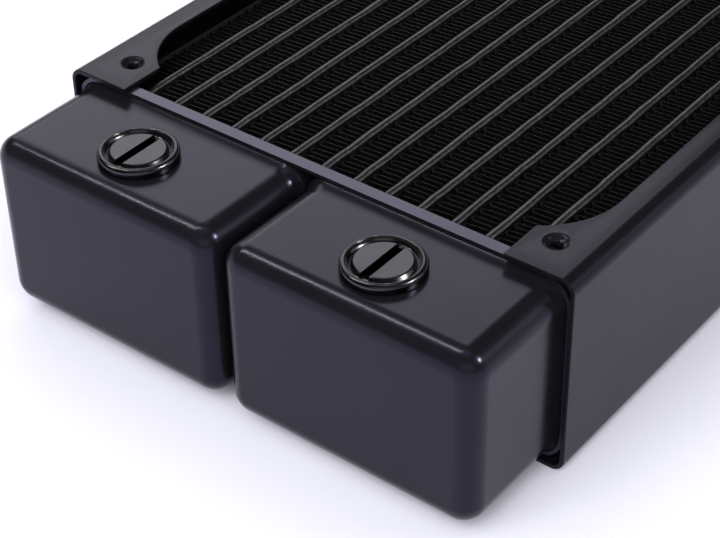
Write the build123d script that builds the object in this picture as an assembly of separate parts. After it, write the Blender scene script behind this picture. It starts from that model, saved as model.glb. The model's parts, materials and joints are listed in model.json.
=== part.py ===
from build123d import *
import math
import os

# Thick computer water-cooling radiator for two 120 mm fans.
# Millimetres. X across the width, Y along the length with the connector end at -Y, Z up.
# The origin is on the ground under the middle of the whole radiator.

# ---- overall sizes ----
WIDTH = 124.0
THICK = 45.5
FAN_SIZE = 120.0
FAN_COUNT = 2
HOLE_SPACING = 105.0
PLATE_OVERHANG = 1.2
PLATE_LENGTH = FAN_COUNT * FAN_SIZE + 2 * PLATE_OVERHANG
FRONT_TANK_DEPTH = 26.5
RETURN_TANK_DEPTH = 10.1
LENGTH = FRONT_TANK_DEPTH + PLATE_LENGTH + RETURN_TANK_DEPTH
MID_Z = THICK / 2
FRONT_Y = -LENGTH / 2 + FRONT_TANK_DEPTH
REAR_Y = FRONT_Y + PLATE_LENGTH

# ---- side plates: bent steel channels whose flanges carry the fans ----
SHEET = 1.0
BEND_R = 3.0
STRIP_EDGE_X = 55.0
TAB_EDGE_X = 46.6
TAB_ARC_R = 18.7
TAB_ARC_Y = 26.3
FAN_HOLE_Y = PLATE_OVERHANG + (FAN_SIZE - HOLE_SPACING) / 2
FAN_HOLE_R = 1.25
DIMPLE_R = 2.35
DIMPLE_DEPTH = 0.8
COLLAR_R = 2.0
COLLAR_DROP = 0.9

# ---- header trays: shallow pans that hold the tube ends ----
TRAY_SHEET = 0.8
TRAY_FRONT = 0.9
TRAY_BACK = 4.1
TRAY_CORNER_R = 6.5
TRAY_BEND_R = 0.7
TRAY_HALF_X = WIDTH / 2 - SHEET
TRAY_HALF_Z = THICK / 2 - SHEET

# ---- tanks: deep-drawn cups with a flared mouth that sits in the tray ----
JOINT_GAP = 0.05
TANK_WALL = 1.0
FLARE = 0.85
FLARE_START = -3.0
RIM_FRONT = 0.5
TANK_CORNER_R = 5.0
TANK_EDGE_R = 4.5
RIM_HALF_Z = TRAY_HALF_Z - TRAY_SHEET - JOINT_GAP
TANK_HALF_Z = RIM_HALF_Z - FLARE
RIM_OUTER_X = TRAY_HALF_X - TRAY_SHEET - JOINT_GAP
RETURN_HALF_X = RIM_OUTER_X - FLARE
FRONT_HALF_X = (RIM_OUTER_X - JOINT_GAP) / 2 - FLARE
FRONT_TANK_X = (RIM_OUTER_X + JOINT_GAP) / 2
TANK_TOP_Z = MID_Z + TANK_HALF_Z

# ---- core: flat tubes along Y with corrugated fins between them ----
TUBE_COUNT = 13
TUBE_PITCH = 7.78
TUBE_THICK = 2.0
TUBE_HEIGHT = 38.5
TUBE_WALL = 0.3
TUBE_ENTRY = 1.0
FIN_HEIGHT = 36.5
FIN_SHEET = 0.12
FIN_WAVE = 2.94
FIN_LEAN = 0.5
FIN_END_GAP = 0.4
SIDE_SHEET = 0.8
SLOT_GAP = 0.05

# ---- screw ports (G1/4) and their slotted plugs ----
PORT_Y = FRONT_Y - 13.5
BORE_R = 5.72
BUSH_R = 7.8
BUSH_LENGTH = 7.5
SHANK_R = 5.65
SHANK_LENGTH = 6.0
HEAD_R = 8.2
HEAD_HEIGHT = 2.1
HEAD_GAP = 0.1
SLOT_WIDTH = 2.0
SEAL_RING_R = 6.3
SEAL_R = 0.33


def section(half_x, half_z, corner_r, y, x=0.0):
    """Rounded rectangle across the radiator at the given Y, facing +Y."""
    plane = Plane(origin=(x, y, MID_Z), x_dir=(1, 0, 0), z_dir=(0, 1, 0))
    return plane * RectangleRounded(2 * half_x, 2 * half_z, corner_r)


def prism(half_x, half_z, corner_r, y_from, y_to, x=0.0):
    """Straight rounded block between two Y positions."""
    return extrude(section(half_x, half_z, corner_r, y_from, x), amount=y_to - y_from)


def closed_face(curves):
    """Flat face inside a closed chain of lines and arcs."""
    return make_face([edge for curve in curves for edge in curve.edges()])


def rear_copy(shape):
    """The same shape turned round to face the return end."""
    return mirror(shape, about=Plane.XZ.offset(-(FRONT_Y + REAR_Y) / 2))


def fan_hole_places():
    """X and Y of every fan screw hole of one flange on the +X side."""
    places = []
    for fan in range(FAN_COUNT):
        for step in (0, HOLE_SPACING):
            places.append((HOLE_SPACING / 2, FRONT_Y + FAN_HOLE_Y + fan * FAN_SIZE + step))
    return places


def fan_window(start_y):
    """Cutter that leaves a narrow flange beside one fan and a corner tab at each end."""
    middle = start_y + PLATE_OVERHANG + FAN_SIZE / 2
    arc_x = STRIP_EDGE_X - TAB_ARC_R
    apex_run = math.sqrt(TAB_ARC_R ** 2 - (TAB_EDGE_X - arc_x) ** 2)
    arc_y = middle - start_y - TAB_ARC_Y
    inside_x = TAB_EDGE_X - BEND_R
    low = middle - arc_y
    high = middle + arc_y
    half_turn = math.atan2(apex_run, TAB_EDGE_X - arc_x) / 2
    mid_x = arc_x + TAB_ARC_R * math.cos(half_turn)
    mid_run = TAB_ARC_R * math.sin(half_turn)
    outline = [
        Line((inside_x, low - apex_run), (TAB_EDGE_X, low - apex_run)),
        ThreePointArc((TAB_EDGE_X, low - apex_run), (mid_x, low - mid_run), (STRIP_EDGE_X, low)),
        Line((STRIP_EDGE_X, low), (STRIP_EDGE_X, high)),
        ThreePointArc((STRIP_EDGE_X, high), (mid_x, high + mid_run), (TAB_EDGE_X, high + apex_run)),
        Line((TAB_EDGE_X, high + apex_run), (inside_x, high + apex_run)),
        Line((inside_x, high + apex_run), (inside_x, low - apex_run)),
    ]
    return extrude(closed_face(outline), amount=THICK)


def channel():
    """Plain C channel of the +X side plate."""
    depth = WIDTH / 2 - TAB_EDGE_X
    middle_x = WIDTH / 2 - depth / 2
    outer = Pos(middle_x, (FRONT_Y + REAR_Y) / 2, MID_Z) * Box(depth, PLATE_LENGTH, THICK)
    bends = outer.edges().filter_by(Axis.Y).group_by(Axis.X)[-1]
    outer = fillet(bends, BEND_R)
    hollow = Pos(middle_x - SHEET, (FRONT_Y + REAR_Y) / 2, MID_Z) * Box(
        depth, PLATE_LENGTH, THICK - 2 * SHEET
    )
    bends = hollow.edges().filter_by(Axis.Y).group_by(Axis.X)[-1]
    return outer - fillet(bends, BEND_R - SHEET)


def side_plate():
    """Side plate at +X: channel, fan windows and dished fan screw holes on both faces."""
    plate = channel()
    for fan in range(FAN_COUNT):
        plate -= fan_window(FRONT_Y + fan * FAN_SIZE)
    for x, y in fan_hole_places():
        for face_z, inward in ((THICK, -1), (0, 1)):
            collar_z = face_z + inward * (SHEET + COLLAR_DROP / 2)
            dish_z = face_z + inward * DIMPLE_DEPTH / 2
            plate += Pos(x, y, collar_z) * Cylinder(COLLAR_R, COLLAR_DROP)
            dish = Cone(FAN_HOLE_R, DIMPLE_R, DIMPLE_DEPTH)
            if inward > 0:
                dish = Cone(DIMPLE_R, FAN_HOLE_R, DIMPLE_DEPTH)
            plate -= Pos(x, y, dish_z) * dish
        plate -= Pos(x, y, MID_Z) * Cylinder(FAN_HOLE_R, 2 * THICK)
    return plate


def tube_places():
    """X of every flat tube, from -X to +X."""
    return [(i - (TUBE_COUNT - 1) / 2) * TUBE_PITCH for i in range(TUBE_COUNT)]


def tube_section(x, y, grow=0.0):
    """Flat oval across a tube, standing on edge."""
    plane = Plane(origin=(x, y, MID_Z), x_dir=(1, 0, 0), z_dir=(0, 1, 0))
    return plane * SlotOverall(TUBE_HEIGHT + 2 * grow, TUBE_THICK + 2 * grow, rotation=90)


def flat_tube(x):
    """Thin-walled flat tube; the middle one stops at the walls between the two front tanks."""
    front_entry = TUBE_ENTRY if abs(x) > TUBE_PITCH / 2 else 0
    start = FRONT_Y + TRAY_BACK - TRAY_SHEET - front_entry
    end = REAR_Y - TRAY_BACK + TRAY_SHEET + TUBE_ENTRY
    return extrude(tube_section(x, start) - tube_section(x, start, -TUBE_WALL), amount=end - start)


def header_tray():
    """Pan at the connector end: tube sheet with a slot for each tube and a skirt all round."""
    y_from = FRONT_Y + TRAY_FRONT
    y_sheet = FRONT_Y + TRAY_BACK - TRAY_SHEET
    pan = prism(TRAY_HALF_X, TRAY_HALF_Z, TRAY_CORNER_R, y_from, FRONT_Y + TRAY_BACK)
    pan = fillet(pan.faces().sort_by(Axis.Y)[-1].edges(), TRAY_BEND_R)
    inner_x = TRAY_HALF_X - TRAY_SHEET
    inner_z = TRAY_HALF_Z - TRAY_SHEET
    pan -= prism(inner_x, inner_z, TRAY_CORNER_R - TRAY_SHEET, y_from, y_sheet)
    for x in tube_places():
        pan -= extrude(tube_section(x, y_sheet, SLOT_GAP), amount=TRAY_SHEET)
    return pan


def tank_cup(half_x, depth, x=0.0):
    """Deep-drawn cup that opens towards +Y, with its mouth flared to fill the tray."""
    mouth_y = FRONT_Y + TRAY_BACK - TRAY_SHEET
    body = prism(half_x, TANK_HALF_Z, TANK_CORNER_R, FRONT_Y - depth, FRONT_Y + FLARE_START, x)
    body = fillet(body.faces().sort_by(Axis.Y)[0].edges(), TANK_EDGE_R)
    flare_run = RIM_FRONT - FLARE_START
    sections = []
    for share in (0.0, 0.35, 0.7, 1.0):
        grow = FLARE * share ** 2
        y = FRONT_Y + FLARE_START + flare_run * share
        sections.append(section(half_x + grow, TANK_HALF_Z + grow, TANK_CORNER_R + grow, y, x))
    rim_r = TANK_CORNER_R + FLARE
    rim = prism(half_x + FLARE, RIM_HALF_Z, rim_r, FRONT_Y + RIM_FRONT, mouth_y, x)
    cup = body + loft(sections, ruled=True) + rim
    inner_r = TANK_CORNER_R - TANK_WALL
    cavity = prism(half_x - TANK_WALL, TANK_HALF_Z - TANK_WALL, inner_r,
                   FRONT_Y - depth + TANK_WALL, mouth_y, x)
    cavity = fillet(cavity.faces().sort_by(Axis.Y)[0].edges(), inner_r - 0.5)
    mouth = prism(half_x + FLARE - TANK_WALL, RIM_HALF_Z - TANK_WALL, TANK_CORNER_R,
                  FRONT_Y + RIM_FRONT + TANK_WALL, mouth_y, x)
    return cup - cavity - mouth


def front_tank(x):
    """Connector-end tank with a port hole in its top and one in its bottom."""
    cup = tank_cup(FRONT_HALF_X, FRONT_TANK_DEPTH, x)
    return cup - Pos(x, PORT_Y, MID_Z) * Cylinder(BUSH_R, THICK)


def port_bush(x, top):
    """Threaded brass bush set flush in the wall of a tank."""
    bush = Cylinder(BUSH_R, BUSH_LENGTH) - Cylinder(BORE_R, BUSH_LENGTH)
    reach = TANK_HALF_Z - BUSH_LENGTH / 2
    return Pos(x, PORT_Y, MID_Z + (reach if top else -reach)) * bush


def plug(x):
    """Slotted screw plug: shank, seal groove, rounded outer ring, moat and slotted disc."""
    groove_z = 0.85
    groove_r = 6.95
    moat_z = 1.4
    moat_out = 6.95
    moat_in = 6.45
    disc_z = HEAD_HEIGHT - 0.05
    disc_r = 5.85
    crest_r = 7.5
    outer_arc = HEAD_R - crest_r
    inner_arc = crest_r - moat_out
    edge = 0.4
    outline = [
        Polyline(
            (0, -SHANK_LENGTH),
            (SHANK_R - edge, -SHANK_LENGTH),
            (SHANK_R, edge - SHANK_LENGTH),
            (SHANK_R, groove_z),
            (groove_r, groove_z),
            (groove_r, HEAD_GAP),
            (HEAD_R - edge / 2, HEAD_GAP),
            (HEAD_R, HEAD_GAP + edge / 2),
            (HEAD_R, HEAD_HEIGHT - outer_arc),
        ),
        CenterArc((crest_r, HEAD_HEIGHT - outer_arc), outer_arc, 0, 90),
        CenterArc((crest_r, HEAD_HEIGHT - inner_arc), inner_arc, 90, 90),
        Polyline(
            (moat_out, HEAD_HEIGHT - inner_arc),
            (moat_out, moat_z),
            (moat_in, moat_z),
            (disc_r, disc_z),
            (0, disc_z),
        ),
        Line((0, disc_z), (0, -SHANK_LENGTH)),
    ]
    body = revolve(Plane.XZ * closed_face(outline), Axis.Z, 360)
    shallow = 0.95
    deep = 1.7
    body -= Pos(0, 0, disc_z - shallow / 2) * Box(SLOT_WIDTH, 2 * moat_in, shallow)
    body -= Pos(0, 0, disc_z - deep / 2) * Box(SLOT_WIDTH, 2 * SHANK_R - 1, deep)
    return Pos(x, PORT_Y, TANK_TOP_Z) * body


def seal(x):
    """Rubber O-ring under the head of a plug."""
    return Pos(x, PORT_Y, TANK_TOP_Z + SEAL_R + 0.01) * Torus(SEAL_RING_R, SEAL_R)


def ribbon(path, sheet):
    """Closed outline of a strip of the given sheet thickness that follows a path of points."""
    left = []
    right = []
    for i, (x, y) in enumerate(path):
        before = path[max(i - 1, 0)]
        after = path[min(i + 1, len(path) - 1)]
        turn_in = math.atan2(y - before[1], x - before[0]) if i else None
        turn_out = math.atan2(after[1] - y, after[0] - x) if i < len(path) - 1 else turn_in
        turn_in = turn_out if turn_in is None else turn_in
        bisector = (turn_in + turn_out) / 2
        reach = sheet / 2 / math.cos((turn_out - turn_in) / 2)
        left.append((x - reach * math.sin(bisector), y + reach * math.cos(bisector)))
        right.append((x + reach * math.sin(bisector), y - reach * math.cos(bisector)))
    return left + right[::-1]


def fin_pack(x):
    """Corrugated fin strip folded to and fro between two tubes."""
    half_x = (TUBE_PITCH - TUBE_THICK) / 2 - SLOT_GAP - FIN_SHEET / 2
    run = PLATE_LENGTH - 2 * (TRAY_BACK + FIN_END_GAP)
    folds = 2 * int(run / FIN_WAVE)
    half_wave = FIN_WAVE / 2
    start = (FRONT_Y + REAR_Y) / 2 - folds * half_wave / 2
    path = []
    for fold in range(folds):
        side = half_x if fold % 2 else -half_x
        y = start + fold * half_wave
        path.append((x + side, y + FIN_LEAN / 2))
        path.append((x + side, y + half_wave - FIN_LEAN / 2))
    outline = make_face(Polyline(*ribbon(path, FIN_SHEET), close=True))
    return Pos(0, 0, MID_Z - FIN_HEIGHT / 2) * extrude(outline, amount=FIN_HEIGHT)


def core_side(side):
    """Flat strip that closes the core outside the last fin pack."""
    x = side * ((TUBE_COUNT + 1) / 2 * TUBE_PITCH - TUBE_THICK / 2 + SIDE_SHEET / 2)
    length = PLATE_LENGTH - 2 * (TRAY_BACK + SLOT_GAP)
    return Pos(x, (FRONT_Y + REAR_Y) / 2, MID_Z) * Box(SIDE_SHEET, length, FIN_HEIGHT)


def build():
    """Every sub-part of the radiator by node name."""
    right_plate = side_plate()
    tray = header_tray()
    parts = {
        "side_plate_left": mirror(right_plate, about=Plane.YZ),
        "side_plate_right": right_plate,
        "header_tray_front": tray,
        "header_tray_rear": rear_copy(tray),
        "tank_return": rear_copy(tank_cup(RETURN_HALF_X, RETURN_TANK_DEPTH)),
    }
    for name, side in (("left", -1), ("right", 1)):
        x = side * FRONT_TANK_X
        parts[f"tank_{name}"] = front_tank(x)
        parts[f"port_bush_{name}_top"] = port_bush(x, top=True)
        parts[f"port_bush_{name}_bottom"] = port_bush(x, top=False)
        parts[f"plug_{name}"] = plug(x)
        parts[f"plug_seal_{name}"] = seal(x)
        parts[f"core_side_{name}"] = core_side(side)
    for number, x in enumerate(tube_places(), start=1):
        parts[f"tube_{number:02d}"] = flat_tube(x)
    for number in range(TUBE_COUNT + 1):
        x = (number - TUBE_COUNT / 2) * TUBE_PITCH
        parts[f"fin_pack_{number + 1:02d}"] = fin_pack(x)
    return parts


os.makedirs("parts", exist_ok=True)
for node, shape in build().items():
    export_step(shape, f"parts/{node}.step")
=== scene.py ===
import json
import math

import bmesh
import bpy
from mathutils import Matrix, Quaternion, Vector


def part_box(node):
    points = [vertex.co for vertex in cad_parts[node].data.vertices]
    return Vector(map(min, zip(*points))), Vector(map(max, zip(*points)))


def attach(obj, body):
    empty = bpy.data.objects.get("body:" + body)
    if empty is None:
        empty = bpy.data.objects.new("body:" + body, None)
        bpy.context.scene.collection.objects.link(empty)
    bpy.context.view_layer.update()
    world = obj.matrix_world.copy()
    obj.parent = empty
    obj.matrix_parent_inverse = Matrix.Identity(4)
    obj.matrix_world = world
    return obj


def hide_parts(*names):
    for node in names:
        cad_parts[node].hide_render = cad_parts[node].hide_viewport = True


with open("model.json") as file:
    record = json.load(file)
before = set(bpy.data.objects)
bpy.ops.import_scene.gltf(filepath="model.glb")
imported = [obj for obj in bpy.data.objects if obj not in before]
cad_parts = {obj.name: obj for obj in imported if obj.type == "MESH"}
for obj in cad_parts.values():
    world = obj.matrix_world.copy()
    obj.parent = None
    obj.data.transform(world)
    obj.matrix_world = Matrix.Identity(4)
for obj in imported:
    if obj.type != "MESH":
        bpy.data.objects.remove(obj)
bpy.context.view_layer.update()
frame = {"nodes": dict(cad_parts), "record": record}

MM = 0.001
NODES = frame["nodes"]

# ---- where things are, read from the frame ----
RADIATOR = "radiator"
PLATE_LOW, PLATE_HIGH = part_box("side_plate_right")
FRONT_Y = PLATE_LOW.y
REAR_Y = PLATE_HIGH.y
TOP_Z = PLATE_HIGH.z
MID_Z = TOP_Z / 2

# ---- camera ----
CAMERA_AIM = Vector((29.0 * MM, FRONT_Y - 18.96 * MM, TOP_Z))
CAMERA_AZIMUTH = math.radians(38.56)
CAMERA_ELEVATION = math.radians(37.27)
CAMERA_ROLL = math.radians(-1.13)
CAMERA_DISTANCE = 0.3289
CAMERA_LENS = 92.8
SENSOR = 36.0


def add_camera():
    """Camera above the corner between the connector end and the right side."""
    data = bpy.data.cameras.new("camera")
    data.lens = CAMERA_LENS
    data.sensor_width = SENSOR
    data.clip_start = 0.01
    data.clip_end = 20
    camera = bpy.data.objects.new("camera", data)
    bpy.context.scene.collection.objects.link(camera)
    level = math.cos(CAMERA_ELEVATION)
    back = Vector((
        math.sin(CAMERA_AZIMUTH) * level,
        -math.cos(CAMERA_AZIMUTH) * level,
        math.sin(CAMERA_ELEVATION),
    ))
    camera.location = CAMERA_AIM + back * CAMERA_DISTANCE
    camera.rotation_mode = "QUATERNION"
    roll = Quaternion((0, 0, 1), CAMERA_ROLL)
    camera.rotation_quaternion = (-back).to_track_quat("-Z", "Y") @ roll
    bpy.context.scene.camera = camera


# ---- studio ----
FLOOR_SIZE = 12.0
WORLD_HORIZON = (0.96, 0.95, 1.0)
WORLD_ROOM = (0.05, 0.05, 0.055)
WORLD_PALE_UP_TO = 0.09
WORLD_DARK_FROM = 0.20
FLOOR_COLOUR = (0.85, 0.84, 0.95)
FLOOR_ROUGHNESS = 0.7
WHITE = (1.0, 1.0, 1.0)
WARM = (1.0, 1.0, 0.80)
CREAM = (1.0, 1.0, 0.88)


def add_floor():
    """Pale plain floor under the radiator."""
    bpy.ops.mesh.primitive_plane_add(size=FLOOR_SIZE, location=(0, 0, 0))
    floor = bpy.context.object
    floor.name = "floor"
    material = bpy.data.materials.new("studio_floor")
    material.use_nodes = True
    shader = material.node_tree.nodes["Principled BSDF"]
    shader.inputs["Base Color"].default_value = (*FLOOR_COLOUR, 1)
    shader.inputs["Roughness"].default_value = FLOOR_ROUGHNESS
    shader.inputs["Specular IOR Level"].default_value = 0.0
    floor.data.materials.append(material)


def add_area_light(
    name, azimuth, elevation, distance, size, power, glossy=True, size_y=None, colour=WHITE
):
    """Soft light that looks at the radiator from a direction given like the camera's."""
    data = bpy.data.lights.new(name, "AREA")
    data.energy = power
    data.color = colour
    data.shape = "RECTANGLE"
    data.size = size
    data.size_y = size_y or size
    light = bpy.data.objects.new(name, data)
    bpy.context.scene.collection.objects.link(light)
    a = math.radians(azimuth)
    e = math.radians(elevation)
    back = Vector((math.sin(a) * math.cos(e), -math.cos(a) * math.cos(e), math.sin(e)))
    light.location = Vector((0, 0, MID_Z)) + back * distance
    light.rotation_euler = (-back).to_track_quat("-Z", "Y").to_euler()
    light.visible_camera = False
    light.visible_glossy = glossy
    return light


def add_world():
    """Pale horizon round the table with a dark room above it."""
    world = bpy.data.worlds.new("studio")
    bpy.context.scene.world = world
    world.use_nodes = True
    tree = world.node_tree
    place = tree.nodes.new("ShaderNodeTexCoord")
    split = tree.nodes.new("ShaderNodeSeparateXYZ")
    ramp = tree.nodes.new("ShaderNodeValToRGB")
    tree.links.new(place.outputs["Generated"], split.inputs[0])
    tree.links.new(split.outputs["Z"], ramp.inputs["Fac"])
    tree.links.new(ramp.outputs["Color"], tree.nodes["Background"].inputs["Color"])
    ramp.color_ramp.interpolation = "EASE"
    ramp.color_ramp.elements[0].position = WORLD_PALE_UP_TO
    ramp.color_ramp.elements[0].color = (*WORLD_HORIZON, 1)
    ramp.color_ramp.elements[1].position = WORLD_DARK_FROM
    ramp.color_ramp.elements[1].color = (*WORLD_ROOM, 1)


def add_lights():
    """Fill lights that only light surfaces, boxes that are only reflected, and edge lights.

    Azimuth and elevation are in degrees, distance and size in metres, power in watts.
    """
    add_area_light("overhead", 0, 90, 1.8, 3.2, 30, glossy=False)
    add_area_light("front_fill", -4, 40, 2.0, 1.5, 30, glossy=False)
    add_area_light("right_fill", 45, 40, 2.0, 1.5, 16, glossy=False)
    add_area_light("rear_key", 233, 50, 2.0, 1.3, 5, glossy=False)
    for name, azimuth, elevation, distance, width, height, power in (
        ("soft_box", 233, 35, 1.3, 1.1, 0.75, 5.5),
        ("front_box", 35, 28, 1.4, 1.2, 0.6, 1.6),
        ("top_box", 0, 90, 1.6, 0.8, 0.8, 1.6),
    ):
        box = add_area_light(name, azimuth, elevation, distance, width, power, size_y=height)
        box.visible_diffuse = False
    bar = add_area_light("left_bar", -64, 58.8, 1.03, 0.038, 3.6, size_y=0.5, colour=WARM)
    glint = add_area_light("glint", 107, 39, 1.2, 0.15, 13.0, colour=CREAM)
    bar.visible_diffuse = glint.visible_diffuse = False
    add_area_light("edge_glow", 132, 21, 1.4, 0.5, 0.8)


# ---- tolerances ----
NEAR = 0.01 * MM
MERGE = 0.001 * MM

# ---- sheet metal, tubes and fins ----
TANK_SHEET = 1.0 * MM
TANK_CORNER = 5.0 * MM
TANK_EDGE = 4.5 * MM
FLARE = 0.85 * MM
FLARE_LENGTH = 3.5 * MM
FLARE_STEPS = 12
FLARE_POWER = 2.3
FLARE_REACH = 1.4 * MM      # how far past the plates' front edge the flare ends
RIM_LENGTH = 1.9 * MM
TUBE_WALL = 0.3 * MM
FIN_FOIL = 0.12 * MM
FIN_WAVE = 2.94 * MM
FIN_SLOPE = 0.18 * MM
FIN_ARC_STEPS = 5
ROUND_STEPS = 96
TUBE_ROUND_STEPS = 20
TUBE_CUTS = 79
TUBE_WAVER = 0.5 * MM
TUBE_WAVER_SIZE = 5 * MM
FIN_WAVER = 0.35 * MM
FIN_WAVER_SIZE = 4 * MM
PLATE_EDGE = 0.22 * MM
TRAY_EDGE = 0.3 * MM
CUT_EDGE_ANGLE = math.radians(35)

# ---- core ----
TUBE_COUNT = sum(node.startswith("tube_") for node in NODES)
TUBE_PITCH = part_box("tube_02")[0].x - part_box("tube_01")[0].x

# ---- fan screw holes ----
HOLE_CLEAR = 3.4 * MM
HOLE_PLAY = 0.02 * MM
# Section of the dish round a hole, in mm: (outward from the bore, height above the sheet)
DISH_SECTION = (
    (0.0, -3.0), (0.0, -0.85), (0.12, -0.78), (0.3, -0.7), (0.55, -0.56), (0.8, -0.36),
    (1.03, -0.18), (1.25, -0.07), (1.5, -0.01), (1.55, 0.0), (1.55, 0.5),
)

# ---- G1/4 thread ----
PITCH = 1.337 * MM
THREAD_MAJOR = 6.55 * MM
THREAD_MINOR = 5.65 * MM
THREAD_PLAY = 0.08 * MM
RIDGE_BASE = 0.78
RIDGE_TIP = 0.12
BUSH_R = 7.8 * MM
BUSH_TURNS = 4
PLUG_TURNS = 3.6
SHANK_RUN = 5.6 * MM
# The slot's wide top and its narrower floor, in mm: (width, length, depth)
SLOT_CUTS = ((2.0, 12.4, 0.95), (1.96, 11.0, 1.6))
THREAD_INSET = 1.05 * MM
PORT_Y = (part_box("plug_left")[0].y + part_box("plug_left")[1].y) / 2
TANK_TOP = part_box("port_bush_left_top")[1].z
TANK_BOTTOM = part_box("port_bush_left_bottom")[0].z


# ---- modelling helpers ----
def start_clean():
    """Nothing selected, so that the next operator acts on the new piece alone."""
    bpy.ops.object.select_all(action="DESELECT")


def select_only(piece):
    start_clean()
    piece.select_set(True)
    bpy.context.view_layer.objects.active = piece


def edit(piece):
    select_only(piece)
    bpy.ops.object.mode_set(mode="EDIT")


def leave_edit():
    bpy.ops.object.mode_set(mode="OBJECT")


def settle(piece, name):
    """Names a new piece and puts its place into its mesh."""
    piece.name = name
    select_only(piece)
    bpy.ops.object.transform_apply(location=True, rotation=True, scale=True)
    return piece


def pick(kind, test):
    """In edit mode, selects the vertices, edges or faces that pass the test, and nothing else."""
    bpy.ops.mesh.select_mode(type=kind)
    bpy.ops.mesh.select_all(action="DESELECT")
    data = bpy.context.edit_object.data
    mesh = bmesh.from_edit_mesh(data)
    found = {"VERT": mesh.verts, "EDGE": mesh.edges, "FACE": mesh.faces}[kind]
    for item in found:
        if test(item):
            item.select = True
    mesh.select_flush_mode()
    bmesh.update_edit_mesh(data)


def edge_middle(edge):
    return (edge.verts[0].co + edge.verts[1].co) / 2


def edge_way(edge):
    return (edge.verts[1].co - edge.verts[0].co).normalized()


def extrude_by(way):
    bpy.ops.mesh.extrude_region_move(TRANSFORM_OT_translate={"value": way})


def finish_with(piece, kind, **settings):
    """Adds one modifier and applies it."""
    select_only(piece)
    modifier = piece.modifiers.new(kind.lower(), kind)
    for key, value in settings.items():
        setattr(modifier, key, value)
    bpy.ops.object.modifier_apply(modifier=modifier.name)


def smooth(piece, degrees=35, weight=90):
    """Smooth shading that keeps flat faces flat and sharp edges sharp."""
    select_only(piece)
    bpy.ops.object.shade_smooth_by_angle(angle=math.radians(degrees))
    finish_with(piece, "WEIGHTED_NORMAL", keep_sharp=True, weight=weight)


def cut(piece, tool):
    """Takes the tool's shape out of the piece, and joins the flat faces that the cut splits."""
    finish_with(piece, "BOOLEAN", object=tool, operation="DIFFERENCE", solver="EXACT")
    bpy.data.objects.remove(tool)
    finish_with(piece, "DECIMATE", decimate_type="DISSOLVE", angle_limit=math.radians(0.3))


def join(piece, others):
    select_only(piece)
    for other in others:
        other.select_set(True)
    bpy.ops.object.join()
    return piece


def close_open_rims():
    """In edit mode, fills every open rim and turns the normals outwards."""
    bpy.ops.mesh.select_all(action="DESELECT")
    bpy.ops.mesh.select_non_manifold()
    bpy.ops.mesh.edge_face_add()
    bpy.ops.mesh.select_all(action="SELECT")
    bpy.ops.mesh.normals_make_consistent(inside=False)


def upright_plane(name, place, width, height):
    """Plane that stands across Y, as the start of a section to spin, screw or extrude."""
    start_clean()
    bpy.ops.mesh.primitive_plane_add(size=1, location=place, rotation=(math.pi / 2, 0, 0))
    bpy.context.object.scale = (width, height, 1)
    return settle(bpy.context.object, name)


def lathe(name, centre, profile):
    """Turned piece: a circle extruded and resized through (radius, height) points."""
    start_clean()
    radius, height = profile[0]
    bpy.ops.mesh.primitive_circle_add(
        vertices=ROUND_STEPS, radius=radius, location=(centre.x, centre.y, centre.z + height)
    )
    piece = settle(bpy.context.object, name)
    edit(piece)
    bpy.ops.mesh.select_all(action="SELECT")
    for next_radius, next_height in profile[1:]:
        extrude_by((0, 0, next_height - height))
        share = next_radius / radius
        level = centre.z + next_height
        bpy.ops.transform.resize(value=(share, share, 1), center_override=(centre.x, centre.y, level))
        radius, height = next_radius, next_height
    bpy.ops.mesh.select_all(action="SELECT")
    bpy.ops.mesh.remove_doubles(threshold=MERGE)
    bpy.ops.mesh.select_mode(type="EDGE")
    close_open_rims()
    leave_edit()
    return piece


def thread_ridge(name, centre, root, crest, low, turns):
    """Helical ridge with a blunt crest, from its root radius to its crest radius."""
    middle = (root + crest) / 2
    at = (centre.x + middle, centre.y, low)
    ridge = upright_plane(name, at, abs(crest - root), PITCH * RIDGE_BASE)
    edit(ridge)
    crest_x = centre.x + crest
    pick("VERT", lambda v: abs(v.co.x - crest_x) < NEAR)
    narrow = RIDGE_TIP / RIDGE_BASE
    bpy.ops.transform.resize(value=(1, 1, narrow), center_override=(crest_x, 0, low))
    bpy.ops.mesh.select_all(action="SELECT")
    bpy.ops.mesh.delete(type="ONLY_FACE")
    leave_edit()
    pivot = bpy.data.objects.new("thread_axis", None)
    bpy.context.scene.collection.objects.link(pivot)
    pivot.location = (centre.x, centre.y, 0)
    bpy.context.view_layer.update()
    finish_with(
        ridge, "SCREW", object=pivot, screw_offset=PITCH * turns, angle=2 * math.pi * turns,
        steps=int(ROUND_STEPS * turns / 2), render_steps=int(ROUND_STEPS * turns / 2),
        use_merge_vertices=False,
    )
    bpy.data.objects.remove(pivot)
    edit(ridge)
    bpy.ops.mesh.select_mode(type="EDGE")
    close_open_rims()
    leave_edit()
    return ridge


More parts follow.
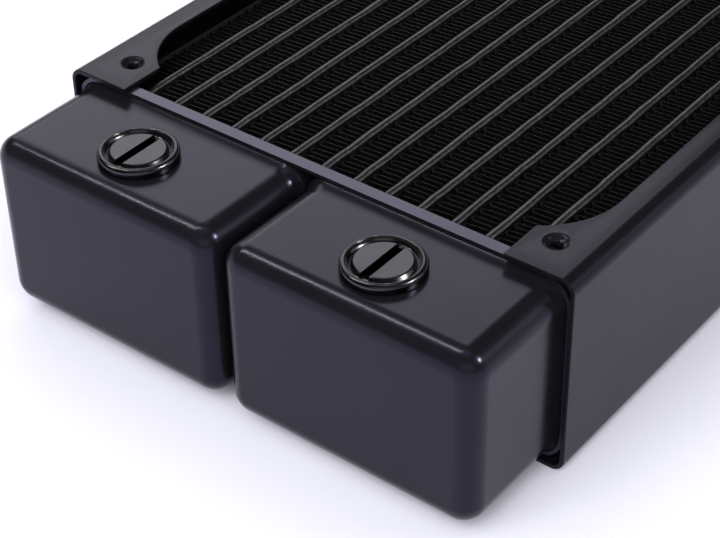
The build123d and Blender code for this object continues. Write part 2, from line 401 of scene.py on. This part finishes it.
# ---- materials ----
class Finish:
    """A Principled material with helpers for colour, roughness and relief patterns."""

    def __init__(self, name, metallic=0.0):
        self.material = bpy.data.materials.new(name)
        self.material.use_nodes = True
        self.tree = self.material.node_tree
        self.shader = self.tree.nodes["Principled BSDF"]
        self.shader.inputs["Metallic"].default_value = metallic
        self.place = self.tree.nodes.new("ShaderNodeTexCoord").outputs["Object"]
        self.relief = None

    def set(self, **values):
        """Numbers and colours that are the same all over, on the shader's own sockets."""
        for key, value in values.items():
            self.shader.inputs[key.replace("_", " ")].default_value = value
        return self

    def noise(self, size, detail=3, stretch=(1, 1, 1)):
        """Noise whose grains are about the given size, stretched along an axis if asked."""
        turn = self.tree.nodes.new("ShaderNodeMapping")
        turn.inputs["Scale"].default_value = stretch
        pattern = self.tree.nodes.new("ShaderNodeTexNoise")
        pattern.inputs["Scale"].default_value = 1 / size
        pattern.inputs["Detail"].default_value = detail
        self.tree.links.new(self.place, turn.inputs["Vector"])
        self.tree.links.new(turn.outputs["Vector"], pattern.inputs["Vector"])
        return pattern.outputs["Fac"]

    def spread(self, source, low, high, start=0.3, end=0.7):
        """Turns a pattern into a number between two limits."""
        ranged = self.tree.nodes.new("ShaderNodeMapRange")
        for key, value in (("From Min", start), ("From Max", end), ("To Min", low), ("To Max", high)):
            ranged.inputs[key].default_value = value
        self.tree.links.new(source, ranged.inputs["Value"])
        return ranged.outputs["Result"]

    def blend(self, share, one, other):
        """Mixes two colours, either of which may be another pattern's colour."""
        mix = self.tree.nodes.new("ShaderNodeMix")
        mix.data_type = "RGBA"
        self.tree.links.new(share, mix.inputs["Factor"])
        for socket, colour in ((mix.inputs[6], one), (mix.inputs[7], other)):
            if isinstance(colour, tuple):
                socket.default_value = (*colour, 1)
            else:
                self.tree.links.new(colour, socket)
        return mix.outputs[2]

    def colour(self, source):
        self.tree.links.new(source, self.shader.inputs["Base Color"])
        return self

    def roughness(self, source):
        self.tree.links.new(source, self.shader.inputs["Roughness"])
        return self

    def emboss(self, source, depth):
        """Relief of a given depth. Later ones add to earlier ones."""
        bump = self.tree.nodes.new("ShaderNodeBump")
        bump.inputs["Distance"].default_value = depth
        bump.inputs["Strength"].default_value = 1.0
        self.tree.links.new(source, bump.inputs["Height"])
        if self.relief:
            self.tree.links.new(self.relief, bump.inputs["Normal"])
        self.relief = bump.outputs["Normal"]
        self.tree.links.new(self.relief, self.shader.inputs["Normal"])
        return self

    def edges(self, start, end):
        """Sharp convex edges, where a finish wears first."""
        shape = self.tree.nodes.new("ShaderNodeNewGeometry")
        return self.spread(shape.outputs["Pointiness"], 0.0, 1.0, start, end)


# Painted reflection colour: a lilac specular tint that makes every reflection on the black paint lilac,
# standing in for lilac-tinted light.
LILAC_PAINTED_REFLECTION = (0.62, 0.58, 1.0, 1)
FLUX_INNER = 1.5 * MM
FLUX_OUTER = 2.3 * MM


def black_paint(name, specular, rough_low, rough_high, peel):
    """Baked satin black paint: faint cloudiness, orange peel, dust and thinner edges."""
    # The specular tint here is the painted lilac reflection colour.
    paint = Finish(name).set(Specular_IOR_Level=specular, Specular_Tint=LILAC_PAINTED_REFLECTION)
    cloud = paint.noise(22 * MM)
    fine = paint.noise(0.35 * MM, 2)
    dust = paint.spread(paint.noise(0.5 * MM, 1), 0.0, 1.0, 0.77, 0.82)
    base = paint.blend(cloud, (0.0052, 0.0052, 0.0066), (0.0078, 0.0076, 0.0094))
    worn = paint.blend(paint.edges(0.64, 0.76), base, (0.016, 0.016, 0.019))
    paint.colour(paint.blend(dust, worn, (0.02, 0.02, 0.024)))
    paint.roughness(paint.spread(paint.noise(9 * MM, 4), rough_low, rough_high))
    paint.emboss(paint.noise(1.6 * MM, 2), peel)
    paint.emboss(fine, peel * 0.25)
    return paint.material


def tube_finish():
    """Thin paint over a drawn flat tube: streaks along its length and solder roughness."""
    # The pale lilac specular tint is a painted reflection colour that cancels the warm lamps' yellow on the
    # tubes.
    paint = Finish("tube_paint").set(Specular_IOR_Level=0.5, Specular_Tint=(0.86, 0.84, 1.0, 1))
    streak = paint.noise(0.8 * MM, 4, (1, 0.12, 1))
    paint.colour(paint.blend(streak, (0.002, 0.002, 0.0025), (0.011, 0.011, 0.012)))
    paint.roughness(paint.spread(paint.noise(1.5 * MM, 3), 0.26, 0.42))
    paint.emboss(paint.noise(0.9 * MM, 4), 0.05 * MM)
    return paint.material


def fin_finish():
    """Sprayed foil: deep black, uneven where the spray thins out, dull with flux beside the tubes."""
    paint = Finish("fin_paint").set(Specular_IOR_Level=0.22)
    paint.colour(paint.blend(paint.noise(2.2 * MM, 4), (0.0012, 0.0012, 0.0014), (0.0045, 0.0045, 0.005)))
    place = paint.tree.nodes.new("ShaderNodeSeparateXYZ")
    from_tube = paint.tree.nodes.new("ShaderNodeMath")
    from_tube.operation = "PINGPONG"
    from_tube.inputs[1].default_value = TUBE_PITCH / 2
    paint.tree.links.new(paint.place, place.inputs[0])
    paint.tree.links.new(place.outputs["X"], from_tube.inputs[0])
    paint.roughness(paint.spread(from_tube.outputs[0], 0.95, 0.48, FLUX_INNER, FLUX_OUTER))
    paint.emboss(paint.noise(0.6 * MM, 3), 0.03 * MM)
    return paint.material


def brass_finish():
    """Turned brass with fine tool rings, darker in patches where it has tarnished."""
    brass = Finish("port_brass", 1.0)
    tarnish = brass.noise(2.5 * MM, 5)
    base = brass.blend(tarnish, (0.66, 0.50, 0.22), (0.40, 0.27, 0.11))
    brass.colour(brass.blend(brass.edges(0.55, 0.65), base, (0.85, 0.68, 0.36)))
    brass.roughness(brass.spread(brass.noise(1.2 * MM, 4), 0.22, 0.42))
    brass.emboss(brass.noise(0.25 * MM, 2, (0.3, 0.3, 3)), 0.02 * MM)
    return brass.material


def nickel_finish():
    """Glossy black nickel with faint handling marks and brighter edges."""
    nickel = Finish("black_nickel", 1.0)
    base = nickel.blend(nickel.noise(4 * MM, 4), (0.062, 0.060, 0.068), (0.048, 0.046, 0.055))
    nickel.colour(nickel.blend(nickel.edges(0.56, 0.68), base, (0.15, 0.145, 0.16)))
    nickel.roughness(nickel.spread(nickel.noise(1.8 * MM, 5), 0.19, 0.27))
    nickel.emboss(nickel.noise(0.3 * MM, 3), 0.004 * MM)
    return nickel.material


def rubber_finish():
    """Moulded black rubber with a dull, finely grained skin."""
    rubber = Finish("seal_rubber").set(Specular_IOR_Level=0.35)
    rubber.colour(rubber.blend(rubber.noise(1.5 * MM, 4), (0.009, 0.009, 0.009), (0.02, 0.02, 0.02)))
    rubber.roughness(rubber.spread(rubber.noise(0.8 * MM, 3), 0.5, 0.75))
    rubber.emboss(rubber.noise(0.12 * MM, 3), 0.015 * MM)
    return rubber.material


PEEL = 0.004 * MM
PAINT = black_paint("satin_black_paint", 0.26, 0.20, 0.25, PEEL)
# Copies of the tank paint that differ only in specular level: the side plates' lower level is painted shade
# that darkens them, and the header trays' higher level is a painted highlight that brightens the strip
# between the tabs.
PLATE_PAINT_PAINTED_SHADE = black_paint("plate_paint", 0.165, 0.21, 0.26, PEEL)
TRAY_PAINT_PAINTED_HIGHLIGHT = black_paint("tray_paint_painted_highlight", 0.66, 0.20, 0.25, PEEL)
TUBE = tube_finish()
FIN = fin_finish()
BRASS = brass_finish()
NICKEL = nickel_finish()
RUBBER = rubber_finish()


def dress(piece, material):
    piece.data.materials.clear()
    piece.data.materials.append(material)


def stand_for(piece, body, slot, material, *nodes):
    """Puts a finished piece on its body in place of its CAD nodes."""
    dress(piece, material)
    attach(piece, body)
    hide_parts(*nodes)


# ---- tanks ----
def tank_shell(node, mouth_way, plate_end):
    """Deep-drawn cup: a block with rounded edges, opened, flared at the mouth and made hollow."""
    low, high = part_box(node)
    middle_x = (low.x + high.x) / 2
    half_x = (high.x - low.x) / 2 - FLARE
    half_z = (high.z - low.z) / 2 - FLARE
    back_y = low.y if mouth_way > 0 else high.y
    flare_y = plate_end + mouth_way * (FLARE_REACH - FLARE_LENGTH)
    start_clean()
    bpy.ops.mesh.primitive_cube_add(
        size=1,
        location=(middle_x, (back_y + flare_y) / 2, MID_Z),
        scale=(2 * half_x, abs(flare_y - back_y), 2 * half_z),
    )
    shell = settle(bpy.context.object, node + "_shell")
    edit(shell)
    pick("FACE", lambda f: f.normal.y * mouth_way > 0.9)
    bpy.ops.mesh.delete(type="FACE")
    pick("EDGE", lambda e: abs(edge_way(e).y) > 0.9)
    bpy.ops.mesh.bevel(offset=TANK_CORNER, segments=10, profile=0.5, affect="EDGES")
    pick("EDGE", lambda e: all(abs(v.co.y - back_y) < NEAR for v in e.verts))
    bpy.ops.mesh.bevel(offset=TANK_EDGE, segments=10, profile=0.5, affect="EDGES")
    pick("EDGE", lambda e: all(abs(v.co.y - flare_y) < NEAR for v in e.verts))
    grown = 0.0
    for step in range(1, FLARE_STEPS + 1):
        share = step / FLARE_STEPS
        extrude_by((0, mouth_way * FLARE_LENGTH / FLARE_STEPS, 0))
        grow = FLARE * share ** FLARE_POWER
        ratio = ((half_x + grow) / (half_x + grown), 1, (half_z + grow) / (half_z + grown))
        bpy.ops.transform.resize(value=ratio, center_override=(middle_x, 0, MID_Z))
        grown = grow
    extrude_by((0, mouth_way * RIM_LENGTH, 0))
    leave_edit()
    finish_with(shell, "SOLIDIFY", thickness=TANK_SHEET, offset=-1, use_even_offset=True)
    return shell


def port_hole(x):
    start_clean()
    bpy.ops.mesh.primitive_cylinder_add(
        vertices=ROUND_STEPS, radius=BUSH_R, depth=2 * TOP_Z, location=(x, PORT_Y, MID_Z)
    )
    return settle(bpy.context.object, "port_hole")


def add_tanks():
    for side in ("left", "right"):
        node = "tank_" + side
        low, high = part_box(node)
        shell = tank_shell(node, 1, FRONT_Y)
        cut(shell, port_hole((low.x + high.x) / 2))
        smooth(shell)
        stand_for(shell, RADIATOR, "tank_paint", PAINT, node)
    shell = tank_shell("tank_return", -1, REAR_Y)
    smooth(shell)
    stand_for(shell, RADIATOR, "tank_paint", PAINT, "tank_return")


# ---- port bushes and plugs ----
def bush_piece(node):
    """Threaded brass bush with chamfered mouth and a fine groove round its outer edge."""
    low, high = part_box(node)
    centre = Vector(((low.x + high.x) / 2, PORT_Y, low.z))
    length = high.z - low.z
    bore = THREAD_MAJOR + THREAD_PLAY
    lip = 0.5 * MM
    edge = 0.2 * MM
    profile = [
        (bore, lip),
        (bore + lip, 0),
        (BUSH_R - edge, 0),
        (BUSH_R, edge),
        (BUSH_R, length - edge),
        (BUSH_R - edge, length),
        (bore + lip, length),
        (bore, length - lip),
        (bore, lip),
    ]
    bush = lathe(node + "_ring", centre, profile)
    start = TANK_TOP - SHANK_RUN - PITCH / 2 if node.endswith("top") else TANK_BOTTOM + THREAD_INSET
    ridge = thread_ridge(
        node + "_thread", centre, bore + lip / 2, THREAD_MINOR + THREAD_PLAY, start, BUSH_TURNS
    )
    join(bush, [ridge])
    smooth(bush)
    stand_for(bush, RADIATOR, "port_brass", BRASS, node)


def plug_piece(side):
    """Slotted screw plug with a threaded shank, a rounded outer ring and a raised disc."""
    node = "plug_" + side
    low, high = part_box(node)
    centre = Vector(((low.x + high.x) / 2, PORT_Y, TANK_TOP))
    head_r = (high.x - low.x) / 2
    head_top = high.z - TANK_TOP
    shank_end = low.z - TANK_TOP
    shank_r = THREAD_MINOR
    chamfer = 0.4 * MM
    gap = 0.1 * MM
    groove_top = 0.85 * MM
    groove_r = 6.95 * MM
    ring_out = 0.95 * MM
    crest_r = head_r - ring_out
    ring_in = crest_r - groove_r
    disc_r = 5.3 * MM
    disc_z = head_top - 0.15 * MM
    moat_r = 6.25 * MM
    moat_half = 0.2 * MM
    moat_z = 1.05 * MM
    moat_rise = 0.1 * MM
    slot_bevel = 0.05 * MM
    arc_steps = 8
    profile = [
        (shank_r - chamfer, shank_end),
        (shank_r, shank_end + chamfer),
        (shank_r, groove_top),
        (groove_r, groove_top),
        (groove_r, gap),
        (head_r - gap, gap),
        (head_r, 2 * gap),
    ]
    for i in range(arc_steps + 1):
        turn = i / arc_steps * math.pi / 2
        profile.append((
            crest_r + ring_out * math.cos(turn),
            head_top - ring_out * (1 - math.sin(turn)),
        ))
    for i in range(1, arc_steps + 1):
        turn = i / arc_steps * math.pi / 2
        profile.append((
            crest_r - ring_in * math.sin(turn),
            head_top - ring_in * (1 - math.cos(turn)),
        ))
    profile += [
        (moat_r + moat_half, moat_z + moat_rise),
        (moat_r, moat_z),
        (moat_r - moat_half, moat_z + moat_rise),
        (disc_r + 0.38 * MM, disc_z - 0.2 * MM),
        (disc_r + 0.16 * MM, disc_z - 0.05 * MM),
        (disc_r, disc_z),
    ]
    plug = lathe(node + "_body", centre, profile)
    for width, length, depth in SLOT_CUTS:
        start_clean()
        bpy.ops.mesh.primitive_cube_add(
            size=1,
            location=(centre.x, centre.y, TANK_TOP + disc_z),
            scale=(width * MM, length * MM, 2 * depth * MM),
        )
        cut(plug, settle(bpy.context.object, "slot_tool"))
    finish_with(
        plug, "BEVEL", width=slot_bevel, segments=2, limit_method="ANGLE",
        angle_limit=math.radians(40),
    )
    ridge = thread_ridge(
        node + "_thread", centre, THREAD_MINOR - 0.2 * MM, THREAD_MAJOR,
        TANK_TOP - SHANK_RUN, PLUG_TURNS,
    )
    join(plug, [ridge])
    smooth(plug)
    stand_for(plug, side + "_plug", "plug_nickel", NICKEL, node)


# ---- side plates and header trays ----
def fan_holes():
    """Place, facing and radius of every fan screw hole, from the record's bolt patterns."""
    holes = []
    for mount in frame["record"]["mounts"]:
        if mount["kind"] != "bolt_pattern":
            continue
        x, y, _ = mount["pos_m"]
        half_x = mount["dims"]["spacing_x_mm"] * MM / 2
        half_y = mount["dims"]["spacing_y_mm"] * MM / 2
        for side_x in (-1, 1):
            for side_y in (-1, 1):
                place = Vector((x + side_x * half_x, y + side_y * half_y, 0))
                holes.append((place, mount["axis"][2], mount["dims"]["hole_r_mm"] * MM))
    return holes


def dish_tool(place, facing, hole_r):
    """Round bore whose mouth opens in a smooth rounded dish."""
    surface = TOP_Z if facing > 0 else 0.0
    bore = hole_r + HOLE_PLAY
    profile = [(bore + out * MM, facing * height * MM) for out, height in DISH_SECTION]
    return lathe("dish_tool", Vector((place.x, place.y, surface)), profile)


def softened_copy(node, name, radius, holes=()):
    """The frame's own sheet part with its cut edges rounded as paint rounds them."""
    piece = bpy.data.objects.new(name, NODES[node].data.copy())
    bpy.context.scene.collection.objects.link(piece)
    edit(piece)
    bpy.ops.mesh.select_all(action="SELECT")
    bpy.ops.mesh.remove_doubles(threshold=MERGE)
    bpy.ops.mesh.dissolve_limited(angle_limit=math.radians(1))
    bpy.ops.mesh.customdata_custom_splitnormals_clear()

    def cut_edge(edge):
        middle = edge_middle(edge)
        near = any((middle.xy - place.xy).length < HOLE_CLEAR for place, _, _ in holes)
        return not near and edge.is_manifold and edge.calc_face_angle() > CUT_EDGE_ANGLE

    pick("EDGE", cut_edge)
    bpy.ops.mesh.bevel(offset=radius, segments=3, profile=0.5, affect="EDGES", clamp_overlap=True)
    leave_edit()
    if holes:
        tools = [dish_tool(*hole) for hole in holes]
        cut(piece, join(tools[0], tools[1:]))
    smooth(piece, weight=100)
    return piece


def add_sheet_parts():
    for side, way in (("left", -1), ("right", 1)):
        node = "side_plate_" + side
        holes = [hole for hole in fan_holes() if hole[0].x * way > 0]
        sheet = softened_copy(node, node + "_sheet", PLATE_EDGE, holes)
        stand_for(sheet, RADIATOR, "plate_paint", PLATE_PAINT_PAINTED_SHADE, node)
    for end in ("front", "rear"):
        node = "header_tray_" + end
        sheet = softened_copy(node, node + "_sheet", TRAY_EDGE)
        stand_for(sheet, RADIATOR, "tank_paint", TRAY_PAINT_PAINTED_HIGHLIGHT, node)


# ---- core: flat tubes and fins ----
def wavy(piece, amount, size, direction):
    """Uneven hand-assembled look: a soft cloud pushes the mesh a little along one axis."""
    cloud = bpy.data.textures.new("unevenness", "CLOUDS")
    cloud.noise_scale = size
    finish_with(
        piece, "DISPLACE", texture=cloud, strength=amount, mid_level=0.5, direction=direction,
        texture_coords="LOCAL",
    )


def tube_piece(node):
    """Flat tube: a ring stretched upright, drawn along Y and left a little wavy."""
    low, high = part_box(node)
    radius = (high.x - low.x) / 2
    stretch = (high.z - low.z) / 2 - radius
    start_clean()
    bpy.ops.mesh.primitive_circle_add(
        vertices=TUBE_ROUND_STEPS, radius=radius, location=((low.x + high.x) / 2, low.y, MID_Z),
        rotation=(math.pi / 2, 0, 0),
    )
    tube = settle(bpy.context.object, node + "_sleeve")
    edit(tube)
    for way in (1, -1):
        pick("VERT", lambda v, way=way: (v.co.z - MID_Z) * way > MERGE)
        bpy.ops.transform.translate(value=(0, 0, way * stretch))
    bpy.ops.mesh.select_all(action="SELECT")
    extrude_by((0, high.y - low.y, 0))
    pick("EDGE", lambda e: abs(edge_way(e).y) > 0.9)
    bpy.ops.mesh.subdivide(number_cuts=TUBE_CUTS)
    bpy.ops.mesh.select_all(action="SELECT")
    bpy.ops.mesh.normals_make_consistent(inside=False)
    leave_edit()
    wavy(tube, TUBE_WAVER, TUBE_WAVER_SIZE, "X")
    finish_with(tube, "SOLIDIFY", thickness=TUBE_WALL, offset=-1, use_even_offset=True)
    smooth(tube)
    return tube


def fin_piece(node):
    """Fin strip: one wave made of two walls and two round turns, repeated along the core."""
    low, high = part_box(node)
    middle_x = (low.x + high.x) / 2
    turn_r = FIN_WAVE / 4
    half_wall = (high.x - low.x) / 2 - turn_r - FIN_FOIL / 2
    start_y = low.y + turn_r
    fin = upright_plane(node + "_foil", (middle_x, start_y, MID_Z), 2 * half_wall, high.z - low.z)
    edit(fin)
    for way in (1, -1):
        edge_x = middle_x + way * half_wall
        at_y = start_y + (way < 0) * 2 * turn_r
        pick("EDGE", lambda e: abs(edge_middle(e).x - edge_x) < NEAR
             and abs(edge_middle(e).y - at_y) < NEAR and abs(edge_way(e).z) > 0.9)
        bpy.ops.mesh.spin(
            steps=FIN_ARC_STEPS, angle=-math.pi * way, center=(edge_x, at_y + turn_r, MID_Z), axis=(0, 0, 1)
        )
        if way > 0:
            extrude_by((-2 * half_wall, 0, 0))
    bpy.ops.mesh.select_all(action="SELECT")
    bpy.ops.mesh.remove_doubles(threshold=MERGE)
    for way in (1, -1):
        pick("VERT", lambda v, way=way: (v.co.x - middle_x) * way > NEAR)
        bpy.ops.transform.translate(value=(0, way * FIN_SLOPE, 0))
    leave_edit()
    waves = int((high.y - low.y) / FIN_WAVE)
    finish_with(
        fin, "ARRAY", count=waves, use_relative_offset=False, use_constant_offset=True,
        constant_offset_displace=(0, FIN_WAVE, 0), use_merge_vertices=True, merge_threshold=0.002 * MM,
    )
    wavy(fin, FIN_WAVER, FIN_WAVER_SIZE, "Y")
    finish_with(fin, "SOLIDIFY", thickness=FIN_FOIL, offset=0)
    smooth(fin, 50)
    return fin


def add_core():
    for number in range(1, TUBE_COUNT + 1):
        node = f"tube_{number:02d}"
        stand_for(tube_piece(node), RADIATOR, "tube_paint", TUBE, node)
    for number in range(1, TUBE_COUNT + 2):
        node = f"fin_pack_{number:02d}"
        stand_for(fin_piece(node), RADIATOR, "fin_paint", FIN, node)


# ---- the whole scene ----
for node, thing in NODES.items():
    if node.startswith("core_side"):
        dress(thing, FIN)
    if node.startswith("plug_seal"):
        dress(thing, RUBBER)

add_tanks()
for side in ("left", "right"):
    for end in ("top", "bottom"):
        bush_piece(f"port_bush_{side}_{end}")
    plug_piece(side)
add_sheet_parts()
add_core()

add_camera()
add_floor()
add_world()
add_lights()
bpy.context.scene.view_settings.view_transform = "Standard"
